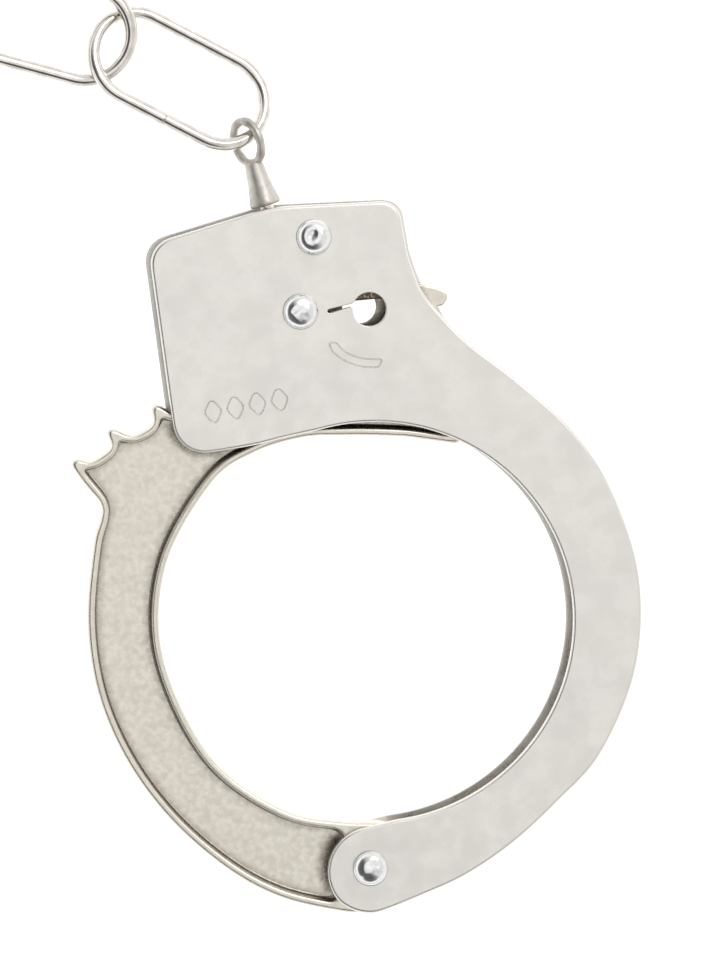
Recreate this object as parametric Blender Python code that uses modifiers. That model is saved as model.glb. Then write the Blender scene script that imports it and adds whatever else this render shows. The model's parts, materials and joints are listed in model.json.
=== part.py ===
"""Handcuffs: two ratchet cuffs joined by three wire links and two swivels.

Metres, +Z up. The pair lies flat, and the origin is under the centre of the middle link, at the
height of the lowest rivet heads. Cuff B is cuff A turned half a turn about the vertical.
Each cuff is drawn in its own frame: origin on the arm's pivot, +Y towards the swivel.
"""
import bpy
import bmesh
import math
from mathutils import Matrix, Vector

# ---- driving dimensions ----------------------------------------------------------------------
OPENING_RADIUS = 0.02785          # the round of the wrist opening
PIVOT_DROP = 0.00652              # from the opening's lowest point down to the arm pivot
PLATE_THICKNESS = 0.001
PLATE_GAP = 0.0042                # clear space between the two plates
CLEARANCE = 0.0003                # between pieces that touch or turn on each other
HEAD_RADIUS = 0.0024
FRONT_HEAD_HEIGHT = 0.0012        # domed rivet heads
BACK_HEAD_HEIGHT = 0.0008         # flat rivet heads that the pair lies on
SHANK_RADIUS = 0.0014
BUSH_WALL = 0.0007
BOSS_RADIUS = 0.00625             # round end of the plates at the arm pivot
BACK_SHIFT = 0.0005               # the back plate sits this far to the left of the front one
BACK_EDGE_PROUD = 0.0012          # and is this much wider beside the release tab
KEYHOLE_RADIUS = 0.00236
BACK_KEYHOLE_SHIFT = 0.0010       # the back plate's keyhole sits this far to the left
KEY_SLOT_WIDTH = 0.0006           # at its far end
KEY_SLOT_MOUTH = 0.0004           # where it runs into the keyhole
ARM_RIM = 0.0011                  # width of the raised wall round the arm
ARM_FLOOR = 0.0011
ARM_BOSS_RADIUS = 0.0045          # solid round the arm's pivot hole
TOOTH_REACH = 0.00895             # tooth tips above the opening's highest point
TOOTH_DEPTH = 0.0026
TOOTH_COUNT = 9
TOOTH_PITCH = 5.65                # degrees about the arm pivot
FIRST_TOOTH = 126.85              # degrees, the tooth furthest from the release tab
FIRST_TOOTH_LAG = 0.5             # degrees that it stands closer to the second one
PAWL_HEIGHT = 0.0030              # the pawl's thickness, across the gap
PAWL_EYE_RADIUS = 0.0034
PAWL_BAR_RISE = 0.00137           # the bar's lower edge above the keyhole's centre
PAWL_BAR_DEPTH = 0.0027           # from the bar's lower edge to its upper one, at the spring
NOSE_LIFT = 0.00035               # the nose rests this far above the tooth tips
NOSE_ANGLE = 82.75                # degrees about the arm pivot
SPRING_THICKNESS = 0.0004
SPRING_WIDTH = 0.0024
STEM_RADIUS = 0.0010
COLLAR_RADIUS = 0.0017
COLLAR_HEIGHT = 0.0010
BLOCK_DEPTH = 0.0045              # length of the swivel's bore in the block
CONE_TOP_RADIUS = 0.00125
CONE_BASE_RADIUS = 0.00215
EYE_SECTION = 0.0006              # radius of the eye's round section
EYE_PLAY = (0.00085, 0.0015)      # inside the eye beside the wire, across the eye and along it
EYE_SPIN = 45.0                   # degrees that the swivel is turned about its stem
WIRE_RADIUS = 0.0009
LINK_HALF_STRAIGHT = 0.00644
LINK_BEND_RADIUS = 0.00640        # to the middle of the wire
LINK_CROSSING = 2.926             # rise of a tilted link's sides over and under the next, in wire radii
ROUND_STEPS = 20

# ---- places ----------------------------------------------------------------------------------
OPENING = Vector((0.00033, OPENING_RADIUS + PIVOT_DROP))
CROWN = OPENING + Vector((0, OPENING_RADIUS))     # the opening's highest point: the lock hangs on it
PAWL_PIVOT = CROWN + Vector((-0.01015, 0.01538))
TOP_RIVET = CROWN + Vector((-0.00830, 0.02565))
KEYHOLE = CROWN + Vector((-0.00063, 0.01563))
KEY_SLOT = (Vector((-0.0021, 0.0006)), Vector((-0.0058, -0.0003)))   # its two ends, from the keyhole
RELEASE_TAB = Vector((0.0110, 0.0016))            # the tab's end, from the keyhole's centre
STEM_ENTRY = CROWN + Vector((-0.01463, 0.02948))  # where the swivel's stem enters the plates
STEM_DIRECTION = Vector((0.281, -0.960)).normalized()   # into the lock
STEM_SIDE = Vector((-STEM_DIRECTION.y, STEM_DIRECTION.x))
EYE_DISTANCE = 0.0094                             # from the stem's entry out to the eye's centre
EYE = STEM_ENTRY - EYE_DISTANCE * STEM_DIRECTION
BLOCK_START = 0.0015
BLOCK_END = BLOCK_START + BLOCK_DEPTH
TIP_RADIUS = CROWN.y + TOOTH_REACH

BACK_PLATE_Z = BACK_HEAD_HEIGHT + CLEARANCE
GAP_Z = BACK_PLATE_Z + PLATE_THICKNESS
FRONT_PLATE_Z = GAP_Z + PLATE_GAP
FRONT_FACE_Z = FRONT_PLATE_Z + PLATE_THICKNESS
MIDDLE_Z = GAP_Z + PLATE_GAP / 2
ARM_Z = (GAP_Z + CLEARANCE, FRONT_PLATE_Z - CLEARANCE)
BUSH_RADIUS = SHANK_RADIUS + CLEARANCE + BUSH_WALL
EYE_HALF_WIDTH, EYE_HALF_HEIGHT = (WIRE_RADIUS + EYE_SECTION + play for play in EYE_PLAY)

LINK_1_CENTRE = Vector((0.01926, -0.00789, MIDDLE_Z + 0.00004))
LINK_TILT = math.degrees(math.asin(LINK_CROSSING * WIRE_RADIUS / LINK_BEND_RADIUS))
LINK_1_TURN = (-LINK_TILT, 0.21 * LINK_TILT, -27.6)   # roll, pitch and yaw in degrees
LINK_2_CENTRE = Vector((0, 0, MIDDLE_Z + 0.00107))
LINK_2_TURN = (0, 0, -15.2)
EYE_FROM_LINK_1 = Vector((0.00935, -0.00882))     # the eye's centre from link 1's centre
CUFF_ORIGIN = LINK_1_CENTRE.xy + EYE_FROM_LINK_1 - EYE

# ---- materials: colour, metallic, roughness ----------------------------------------------------
FINISHES = {
    "nickel_plate": ((0.76, 0.74, 0.71), 1.0, 0.22),
    "nickel_cast": ((0.66, 0.63, 0.58), 1.0, 0.42),
    "bright_rivet": ((0.86, 0.87, 0.88), 1.0, 0.18),
    "nickel_wire": ((0.74, 0.72, 0.69), 1.0, 0.12),
    "spring_steel": ((0.50, 0.50, 0.50), 1.0, 0.30),
}


def material(name):
    colour, metallic, roughness = FINISHES[name]
    found = bpy.data.materials.get(name)
    if found:
        return found
    made = bpy.data.materials.new(name)
    made.use_nodes = True
    shader = made.node_tree.nodes["Principled BSDF"]
    shader.inputs["Base Color"].default_value = (*colour, 1)
    shader.inputs["Metallic"].default_value = metallic
    shader.inputs["Roughness"].default_value = roughness
    return made


# ---- outlines --------------------------------------------------------------------------------
def polar(centre, radius, degrees):
    angle = math.radians(degrees)
    return Vector((centre[0] + radius * math.cos(angle), centre[1] + radius * math.sin(angle)))


def arc(centre, radius, start, end, steps):
    """Points along a circle, from start to end in degrees."""
    return [polar(centre, radius, start + (end - start) * i / steps) for i in range(steps + 1)]


def smooth(points, steps):
    """A Catmull-Rom curve through the points, with this many steps between neighbours."""
    ends = [points[0]] + list(points) + [points[-1]]
    curve = []
    for a, b, c, d in zip(ends, ends[1:], ends[2:], ends[3:]):
        for i in range(steps):
            t = i / steps
            curve.append(
                b + (c - a) * (t / 2)
                + (2 * a - 5 * b + 4 * c - d) * (t * t / 2)
                + (3 * b - 3 * c + d - a) * (t ** 3 / 2)
            )
    return curve + [points[-1]]


def fillet(before, corner, after, radius, steps=6):
    """The corner rounded off with an arc that touches both sides."""
    u = (before - corner).normalized()
    v = (after - corner).normalized()
    half = u.angle(v) / 2
    centre = corner + (u + v).normalized() * (radius / math.sin(half))
    first = corner + u * (radius / math.tan(half))
    last = corner + v * (radius / math.tan(half))
    start = math.degrees(math.atan2(*(first - centre).yx))
    turn = math.degrees(math.atan2(*(last - centre).yx)) - start
    turn = (turn + 180) % 360 - 180
    return arc(centre, radius, start, start + turn, steps)


def band(pairs, steps, inward=0.0):
    """A curve round the opening: pairs are an angle and the distance beyond OPENING_RADIUS."""
    return smooth([polar(OPENING, OPENING_RADIUS + out - inward, a) for a, out in pairs], steps)


# ---- pieces of geometry ------------------------------------------------------------------------
def link_in(name, data, finish, where, collection):
    made = bpy.data.objects.new(name, data)
    collection.objects.link(made)
    if not data.materials:
        data.materials.append(material(finish))
    made.parent = where
    return made


def flat(name, outlines, low, high, finish, where, collection, origin=(0, 0)):
    """An extruded outline with its holes, its object's origin at the given point of the frame."""
    curve = bpy.data.curves.new(name, "CURVE")
    curve.dimensions = "2D"
    curve.fill_mode = "BOTH"
    curve.extrude = (high - low) / 2
    for outline in outlines:
        spline = curve.splines.new("POLY")
        spline.points.add(len(outline) - 1)
        for point, place in zip(spline.points, outline):
            point.co = (place[0] - origin[0], place[1] - origin[1], 0, 1)
        spline.use_cyclic_u = True
    made = link_in(name, curve, finish, where, collection)
    made.location = (origin[0], origin[1], (low + high) / 2)
    return made


def as_mesh(thing):
    """Replaces a curve object by the mesh that it evaluates to, with its caps welded on."""
    bpy.context.view_layer.update()
    graph = bpy.context.evaluated_depsgraph_get()
    mesh = bpy.data.meshes.new_from_object(thing.evaluated_get(graph))
    work = bmesh.new()
    work.from_mesh(mesh)
    bmesh.ops.remove_doubles(work, verts=work.verts, dist=1e-7)
    bmesh.ops.recalc_face_normals(work, faces=work.faces)
    work.to_mesh(mesh)
    work.free()
    made = bpy.data.objects.new(thing.name, mesh)
    for collection in thing.users_collection:
        collection.objects.link(made)
    made.parent = thing.parent
    made.location = thing.location
    made.rotation_euler = thing.rotation_euler
    name = thing.name
    bpy.data.objects.remove(thing)
    made.name = name
    return made


def turned(name, profile, finish, where, collection, location, rotation=None, closed=False):
    """A profile of (radius, height) pairs, top to bottom on its outer side, turned about Z."""
    mesh = bpy.data.meshes.new(name)
    edges = [(i, i + 1) for i in range(len(profile) - 1)]
    if closed:
        edges.append((len(profile) - 1, 0))
    mesh.from_pydata([(r, 0, z) for r, z in profile], edges, [])
    made = link_in(name, mesh, finish, where, collection)
    made.location = location
    if rotation is not None:
        made.rotation_mode = "QUATERNION"
        made.rotation_quaternion = rotation
    screw = made.modifiers.new("turn", "SCREW")
    screw.steps = ROUND_STEPS
    screw.render_steps = ROUND_STEPS
    screw.use_merge_vertices = True
    screw.merge_threshold = 1e-6
    screw.use_smooth_shade = True
    return made


def combine(thing, other, operation, cutters):
    """Adds or takes away another object, which stays in the cutters' collection."""
    boolean = thing.modifiers.new(operation.lower(), "BOOLEAN")
    boolean.operation = operation
    boolean.object = other
    other.hide_render = True
    other.display_type = "WIRE"
    for collection in list(other.users_collection):
        collection.objects.unlink(other)
    cutters.objects.link(other)


# ---- plates ----------------------------------------------------------------------------------
OUTER_BAND = (
    (-80, 0.0111), (-70, 0.0100), (-58, 0.0089), (-45, 0.0083), (-30, 0.0090), (-10, 0.0094),
    (10, 0.0097), (30, 0.0100), (45, 0.0105), (60, 0.0113),
)
OPENING_START = -83               # where the opening's arc meets the boss
OPENING_END = 106                 # where it leaves for the lock's lower edge
BOSS = Vector((0.00028, -0.00053))


def lock_side(proud):
    """The hollow right side of the lock, upwards from the band; proud widens all but its foot."""
    foot = CROWN + Vector((0.0130, 0.0111))
    rest = ((0.0084, 0.0159), (0.0062, 0.0190), (0.0046, 0.0233))
    return [foot] + [CROWN + Vector((x + proud, y)) for x, y in rest]


def plate_outline(proud):
    """A plate's outline: the opening, the boss, the outer band, and the lock round to the opening."""
    side = lock_side(proud)
    corners = [
        CROWN + Vector(offset)
        for offset in ((0.0033 + proud, 0.0306), (-0.0140, 0.0298), (-0.0311, 0.0246), (-0.0271, -0.0050))
    ]
    lower_edge = [
        CROWN + Vector(offset) for offset in ((-0.0215, -0.0039), (-0.0165, -0.0031), (-0.0124, -0.0021))
    ]
    chin = [Vector((-0.0022, -0.0060)), Vector((0.0, -0.0064)), Vector((0.0020, -0.0060))]
    outer = [polar(OPENING, OPENING_RADIUS + out, angle) for angle, out in OUTER_BAND]
    outline = arc(OPENING, OPENING_RADIUS, OPENING_END, OPENING_START, 48)
    outline += arc(BOSS, BOSS_RADIUS, 100, 225, 11)
    outline += smooth([outline[-1]] + chin + outer + side, 3)[1:]
    outline += fillet(side[-1], corners[0], corners[1], 0.0026)
    outline += fillet(corners[0], corners[1], corners[2], 0.0200, 2)
    outline += fillet(corners[1], corners[2], corners[3], 0.0037)
    outline += fillet(corners[2], corners[3], lower_edge[0], 0.0044)
    outline += lower_edge[1:]
    return outline


def keyhole_outline(shift):
    """A round hole with a tapered key slot that runs into its left side."""
    centre = KEYHOLE - Vector((shift, 0))
    mouth, tail = (centre + end for end in KEY_SLOT)
    along = (tail - mouth).normalized()
    across = Vector((-along.y, along.x)) * (KEY_SLOT_WIDTH / 2)
    heading = math.degrees(math.atan2(*KEY_SLOT[0].yx))
    opening = math.degrees(math.asin(KEY_SLOT_MOUTH / 2 / KEYHOLE_RADIUS))
    outline = arc(centre, KEYHOLE_RADIUS, heading + opening, heading + 360 - opening, ROUND_STEPS)
    return outline + [tail - across, tail + across]


def hole(centre, radius):
    return arc(centre, radius, 0, 360, ROUND_STEPS)[:-1]


def plate(name, low, shift, proud, keyhole_shift, where, parts):
    rivets = [(0, 0), PAWL_PIVOT, TOP_RIVET]
    holes = [hole(centre, SHANK_RADIUS + CLEARANCE) for centre in rivets]
    outline = [point - Vector((shift, 0)) for point in plate_outline(proud)]
    outlines = [outline, keyhole_outline(keyhole_shift)] + holes
    return flat(name, outlines, low, low + PLATE_THICKNESS, "nickel_plate", where, parts)


# ---- arm -------------------------------------------------------------------------------------
ARM_SHOULDER = (                  # below the first tooth: drop from the tips, degrees past the tooth
    (0.0021, 0.05), (0.0039, 0.1), (0.0061, 0.0), (0.0077, -0.1), (0.0089, 0.3), (0.0101, 1.6),
)
ARM_OUTER = (
    (165, 0.0126), (180, 0.0120), (195, 0.0118), (210, 0.0116), (225, 0.0117), (240, 0.0123), (252, 0.0129),
)
ARM_INNER = (
    (263, 0.0006), (245, 0.0014), (220, 0.0017), (190, 0.0019), (165, 0.0022), (140, 0.0020),
    (126, 0.0011), (112, -0.0003), (100, -0.0016), (90, -0.0020), (78, -0.0017), (65, -0.0006),
)
ARM_END_RADIUS = 0.0065
ARM_HEEL = (Vector((-0.0041, -0.0063)), Vector((-0.0008, -0.0065)))
ARM_TURN = -0.6                   # degrees about the pivot, from the drawn outline to the stored pose
FIRST_TOOTH_DROP = 0.0009         # the first tooth is shorter than the rest
# One tooth: degrees after its tip, and how far down the tooth's depth, as a share.
TOOTH_SHAPE = (
    (-0.40, 0.26), (-0.12, 0.03), (0.3, 0.03), (0.75, 0.25), (1.3, 0.62), (2.0, 0.95), (2.9, 1.0),
    (4.2, 0.97), (4.95, 0.78),
)
TIP_TAPER = ((1.4, 0.0019), (2.6, 0.0048), (3.0, 0.0078))   # past the last tooth: degrees, drop


def about_pivot(points, degrees):
    """The points turned about the arm's pivot."""
    turn = Matrix.Rotation(math.radians(degrees), 2)
    return [turn @ point for point in points]


def toothed_edge(inward):
    """From the front of the arm's tip back over the teeth to the first one."""
    points = []
    for number in range(TOOTH_COUNT):
        tip = FIRST_TOOTH - number * TOOTH_PITCH
        for after, share in TOOTH_SHAPE:
            drop = TOOTH_DEPTH * share + inward
            if number == 0:
                drop += FIRST_TOOTH_DROP * (1.0 - share)
                after += FIRST_TOOTH_LAG * (1.0 - share)
            if number < TOOTH_COUNT - 1 or after < 0.5:
                points.append(polar((0, 0), TIP_RADIUS - drop, tip - after))
    last = FIRST_TOOTH - (TOOTH_COUNT - 1) * TOOTH_PITCH
    pull = math.degrees(inward / TIP_RADIUS)
    points += [polar((0, 0), TIP_RADIUS - drop - inward, last - after + pull) for after, drop in TIP_TAPER]
    return points[::-1]


def arm_outline():
    shoulder = [polar((0, 0), TIP_RADIUS - drop, FIRST_TOOTH + past) for drop, past in ARM_SHOULDER]
    outer = [polar(OPENING, OPENING_RADIUS + out, angle) for angle, out in ARM_OUTER]
    outline = toothed_edge(0.0) + smooth(shoulder + outer + list(ARM_HEEL), 3)
    outline += arc((0, 0), ARM_END_RADIUS, 285, 430, 10)
    outline += band(ARM_INNER, 4)
    return about_pivot(outline, ARM_TURN)


def pocket_outline():
    """The hollow of the arm's channel, one rim's width inside its edge, clear of the pivot's boss."""
    throat = [
        polar((0, 0), TIP_RADIUS - out - ARM_RIM, FIRST_TOOTH + after)
        for out, after in ((0.0046, -0.6), (0.0078, -0.9))
    ]
    outer = [(a, out) for a, out in ARM_OUTER if a < 250]
    inner = [(a, out) for a, out in ARM_INNER if a < 250]
    outline = (
        toothed_edge(ARM_RIM + 0.0004)[2:-2] + throat + band(outer, 4, ARM_RIM)
        + [polar((0, 0), ARM_BOSS_RADIUS, a) for a in (215, 190, 165)]
        + band(inner, 4, -ARM_RIM)
    )
    return about_pivot(outline, ARM_TURN)


def arm(name, where, parts, cutters):
    low, high = ARM_Z
    outlines = [arm_outline(), hole((0, 0), BUSH_RADIUS + CLEARANCE)]
    body = as_mesh(flat(name, outlines, low, high, "nickel_cast", where, parts))
    pocket = [pocket_outline()]
    top = high + PLATE_THICKNESS
    cutter = as_mesh(flat(name + "_pocket", pocket, low + ARM_FLOOR, top, "nickel_cast", where, parts))
    combine(body, cutter, "DIFFERENCE", cutters)
    return body


# ---- pawl, its spring and the rivets -----------------------------------------------------------
def pawl(name, where, parts):
    """The sprung latch: an eye on its rivet, a bar over the keyhole, a nose and a release tab."""
    bar = KEYHOLE + Vector((0, PAWL_BAR_RISE))
    tip = polar((0, 0), TIP_RADIUS + NOSE_LIFT, NOSE_ANGLE)
    tab = KEYHOLE + RELEASE_TAB
    lower = [
        Vector((PAWL_PIVOT.x + PAWL_EYE_RADIUS + 0.0006, bar.y - 0.0006)),
        bar + Vector((0.0018, 0)), bar + Vector((0.0030, -0.0012)), bar + Vector((0.0042, -0.0036)),
        tip + Vector((-0.0020, 0.0022)), tip + Vector((-0.0004, 0)), tip + Vector((0.0004, 0)),
        tip + Vector((0.0006, 0.0022)), tab + Vector((-0.0017, -0.0026)),
        tab + Vector((-0.0017, -0.0014)), tab + Vector((-0.0006, -0.0012)), tab + Vector((-0.0001, -0.0005)),
        tab + Vector((0, 0.0003)), tab + Vector((-0.0008, 0.0010)), tab + Vector((-0.0038, 0.0017)),
    ]
    upper = [bar + Vector((0.0050, PAWL_BAR_DEPTH)), Vector((PAWL_PIVOT.x + 0.0045, bar.y + 0.0022))]
    outline = arc(PAWL_PIVOT, PAWL_EYE_RADIUS, 55, 330, 14) + lower + upper
    low = MIDDLE_Z - PAWL_HEIGHT / 2
    outlines = [outline, hole(PAWL_PIVOT, BUSH_RADIUS + CLEARANCE)]
    return flat(name, outlines, low, low + PAWL_HEIGHT, "nickel_cast", where, parts, PAWL_PIVOT)


BLOCK_SLOT = Vector((0.0046, 0.0001))             # inner end of the spring's slot, from the top rivet


def spring(name, where, parts):
    """A bent leaf that is held in the block's slot and presses the pawl down."""
    start = TOP_RIVET + BLOCK_SLOT - Vector((0.0011, 0))
    rise = PAWL_BAR_RISE + PAWL_BAR_DEPTH + CLEARANCE + SPRING_THICKNESS / 2
    top = KEYHOLE + Vector((0.0043, rise))
    path = smooth(
        [
            start, start + Vector((0.0022, 0)), start + Vector((0.0037, -0.0009)),
            (start + Vector((0.0037, -0.0009)) + top) / 2 + Vector((0.0003, 0.0003)),
            top + Vector((-0.0008, 0.0003)), top + Vector((0.0004, 0.0001)), top + Vector((0.0016, 0.0007)),
        ],
        3,
    )
    left, right = [], []
    for i, point in enumerate(path):
        along = (path[min(i + 1, len(path) - 1)] - path[max(i - 1, 0)]).normalized()
        across = Vector((-along.y, along.x)) * (SPRING_THICKNESS / 2)
        left.append(point + across)
        right.append(point - across)
    low = MIDDLE_Z - SPRING_WIDTH / 2
    return flat(name, [left + right[::-1]], low, low + SPRING_WIDTH, "spring_steel", where, parts)


def rivet(name, centre, where, parts):
    """One turned body: a domed front head, the shank, and a flat back head."""
    base = FRONT_FACE_Z + CLEARANCE
    edge = 0.00025                # the dome's upright rim
    profile = [
        (HEAD_RADIUS * math.sin(a), base + edge + (FRONT_HEAD_HEIGHT - edge) * math.cos(a))
        for a in (math.radians(d) for d in (0, 22, 42, 60, 76, 90))
    ]
    profile += [
        (HEAD_RADIUS, base), (SHANK_RADIUS, base), (SHANK_RADIUS, BACK_HEAD_HEIGHT),
        (HEAD_RADIUS, BACK_HEAD_HEIGHT), (HEAD_RADIUS, 0.0003), (HEAD_RADIUS - 0.0003, 0), (0, 0),
    ]
    return turned(name, profile, "bright_rivet", where, parts, (centre[0], centre[1], 0))


def bush(name, centre, where, parts):
    """A spacer sleeve that keeps the plates apart and that the arm or the pawl turns on."""
    inner = SHANK_RADIUS + CLEARANCE
    low, high = ARM_Z
    profile = [(BUSH_RADIUS, high), (BUSH_RADIUS, low), (inner, low), (inner, high)]
    return turned(name, profile, "nickel_cast", where, parts, (centre[0], centre[1], 0), closed=True)


# ---- swivel ----------------------------------------------------------------------------------
def on_stem(distance, side=0.0):
    return STEM_ENTRY + distance * STEM_DIRECTION + side * STEM_SIDE


def stem_turn():
    """Turns +Z to point out of the lock along the stem, with the eye spun about it."""
    out = Vector((-STEM_DIRECTION.x, -STEM_DIRECTION.y, 0))
    right = Vector((STEM_SIDE.x, STEM_SIDE.y, 0)) * (1 if STEM_SIDE.x > 0 else -1)
    spun = right * math.cos(math.radians(EYE_SPIN)) + Vector((0, 0, math.sin(math.radians(EYE_SPIN))))
    frame = Matrix((spun, out.cross(spun), out)).transposed()
    return frame.to_quaternion()


def block(name, where, parts, cutters):
    """The spacer that the stem turns in; the top rivet clamps it, and the spring sits in its slot."""
    wide = 0.0070
    slot_y = (TOP_RIVET + BLOCK_SLOT).y
    slot_x = (TOP_RIVET + BLOCK_SLOT).x - 0.0011 - CLEARANCE
    half = SPRING_THICKNESS / 2 + CLEARANCE
    right = TOP_RIVET.x + 0.0049
    outline = [
        on_stem(BLOCK_START, 0.0030), on_stem(BLOCK_START, -wide), on_stem(BLOCK_END, -wide),
        on_stem(BLOCK_END, 0.0021), TOP_RIVET + Vector((-0.0017, -0.0032)),
        TOP_RIVET + Vector((0.0022, -0.0034)), Vector((right, TOP_RIVET.y - 0.0024)),
        Vector((right, slot_y - half)), Vector((slot_x, slot_y - half)), Vector((slot_x, slot_y + half)),
        Vector((right, slot_y + half)), Vector((right, TOP_RIVET.y + 0.0030)),
    ]
    low, high = ARM_Z
    outlines = [outline, hole(TOP_RIVET, SHANK_RADIUS + CLEARANCE)]
    body = as_mesh(flat(name, outlines, low, high, "nickel_cast", where, parts))
    length = BLOCK_DEPTH + 4 * CLEARANCE
    bpy.ops.mesh.primitive_cylinder_add(
        vertices=ROUND_STEPS, radius=STEM_RADIUS + CLEARANCE, depth=length, location=(0, 0, 0)
    )
    bore = bpy.context.object
    bore.name = name + "_bore"
    bore.parent = where
    middle = on_stem((BLOCK_START + BLOCK_END) / 2)
    bore.location = (middle.x, middle.y, MIDDLE_Z)
    bore.rotation_mode = "QUATERNION"
    bore.rotation_quaternion = stem_turn()
    combine(body, bore, "DIFFERENCE", cutters)
    return body


def swivel(name, where, parts, cutters):
    """The cast eye, its cone and its stem in one piece, with the stem's head inside the lock."""
    collar_start = BLOCK_END + CLEARANCE
    head_start = collar_start + COLLAR_HEIGHT + CLEARANCE
    shoulder = 0.0004             # the cone ends this far outside the plates
    join = EYE_DISTANCE - EYE_HALF_HEIGHT
    profile = [
        (0, join), (CONE_TOP_RADIUS, join), (CONE_TOP_RADIUS + 0.0001, join - 0.0008),
        (CONE_BASE_RADIUS, shoulder + 0.0002), (CONE_BASE_RADIUS, shoulder), (STEM_RADIUS, shoulder),
        (STEM_RADIUS, -head_start), (COLLAR_RADIUS - 0.0003, -head_start),
        (COLLAR_RADIUS - 0.0003, -head_start - 0.0006), (0, -head_start - 0.0006),
    ]
    place = (STEM_ENTRY.x, STEM_ENTRY.y, MIDDLE_Z)
    body = turned(name, profile, "nickel_cast", where, parts, place, stem_turn())
    ring = bpy.data.curves.new(name + "_eye", "CURVE")
    ring.dimensions = "3D"
    ring.bevel_depth = EYE_SECTION
    ring.bevel_resolution = 2
    spline = ring.splines.new("POLY")
    count = 24
    spline.points.add(count - 1)
    for i, point in enumerate(spline.points):
        angle = 2 * math.pi * i / count
        height = EYE_DISTANCE + EYE_HALF_HEIGHT * math.sin(angle)
        point.co = (EYE_HALF_WIDTH * math.cos(angle), 0, height, 1)
    spline.use_cyclic_u = True
    eye = link_in(name + "_eye", ring, "nickel_cast", where, parts)
    eye.location = place
    eye = as_mesh(eye)
    eye.rotation_mode = "QUATERNION"
    eye.rotation_quaternion = stem_turn()
    combine(body, eye, "UNION", cutters)
    return body


def collar(name, where, parts):
    """The washer that the stem's head bears on."""
    inner = STEM_RADIUS + CLEARANCE
    start = -(BLOCK_END + CLEARANCE)
    profile = [
        (COLLAR_RADIUS, start), (COLLAR_RADIUS, start - COLLAR_HEIGHT),
        (inner, start - COLLAR_HEIGHT), (inner, start),
    ]
    place = (STEM_ENTRY.x, STEM_ENTRY.y, MIDDLE_Z)
    return turned(name, profile, "bright_rivet", where, parts, place, stem_turn(), closed=True)


# ---- chain links -----------------------------------------------------------------------------
def chain_link(name, centre, turn, where, parts):
    """A closed obround of round wire."""
    curve = bpy.data.curves.new(name, "CURVE")
    curve.dimensions = "3D"
    curve.bevel_depth = WIRE_RADIUS
    curve.bevel_resolution = 2
    bend = 10
    path = [p + Vector((LINK_HALF_STRAIGHT, 0)) for p in arc((0, 0), LINK_BEND_RADIUS, -90, 90, bend)]
    path += [-p for p in path]
    spline = curve.splines.new("POLY")
    spline.points.add(len(path) - 1)
    for point, place in zip(spline.points, path):
        point.co = (place.x, place.y, 0, 1)
    spline.use_cyclic_u = True
    made = link_in(name, curve, "nickel_wire", where, parts)
    made.location = centre
    made.rotation_euler = [math.radians(angle) for angle in turn]
    return made


# ---- assembly --------------------------------------------------------------------------------
def cuff(letter, where, parts, cutters):
    """Every piece of one cuff and its swivel."""
    back = (BACK_SHIFT, BACK_EDGE_PROUD, BACK_KEYHOLE_SHIFT)
    plate("back_plate_" + letter, BACK_PLATE_Z, *back, where, parts)
    plate("front_plate_" + letter, FRONT_PLATE_Z, 0.0, 0.0, 0.0, where, parts)
    arm("arm_" + letter, where, parts, cutters)
    pawl("pawl_" + letter, where, parts)
    spring("pawl_spring_" + letter, where, parts)
    rivet("arm_rivet_" + letter, (0, 0), where, parts)
    rivet("pawl_rivet_" + letter, PAWL_PIVOT, where, parts)
    rivet("top_rivet_" + letter, TOP_RIVET, where, parts)
    bush("arm_bush_" + letter, (0, 0), where, parts)
    bush("pawl_bush_" + letter, PAWL_PIVOT, where, parts)
    block("swivel_block_" + letter, where, parts, cutters)
    swivel("swivel_" + letter, where, parts, cutters)
    collar("swivel_collar_" + letter, where, parts)


def main():
    for thing in list(bpy.data.objects):
        bpy.data.objects.remove(thing)
    parts = bpy.data.collections.new("handcuffs")
    cutters = bpy.data.collections.new("cutters")
    for collection in (parts, cutters):
        bpy.context.scene.collection.children.link(collection)
    for letter, turn in (("a", 0), ("b", 180)):
        where = bpy.data.objects.new("cuff_" + letter, None)
        parts.objects.link(where)
        half_turn = Matrix.Rotation(math.radians(turn), 2)
        where.location = (*(half_turn @ CUFF_ORIGIN), 0)
        where.rotation_euler = (0, 0, math.radians(turn))
        cuff(letter, where, parts, cutters)
    chain_link("link_1", LINK_1_CENTRE, LINK_1_TURN, None, parts)
    chain_link("link_2", LINK_2_CENTRE, LINK_2_TURN, None, parts)
    roll, pitch, yaw = LINK_1_TURN
    mirrored = Vector((-LINK_1_CENTRE.x, -LINK_1_CENTRE.y, LINK_1_CENTRE.z))
    chain_link("link_3", mirrored, (roll, pitch, yaw + 180), None, parts)
    for thing in parts.objects:
        if thing.type == "MESH" and not thing.modifiers:
            thing.data.shade_smooth()
            thing.data.set_sharp_from_angle(angle=math.radians(35))


main()
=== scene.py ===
import json
import math
import random

import bmesh
import bpy
from mathutils import Matrix, Vector, geometry, noise


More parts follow.
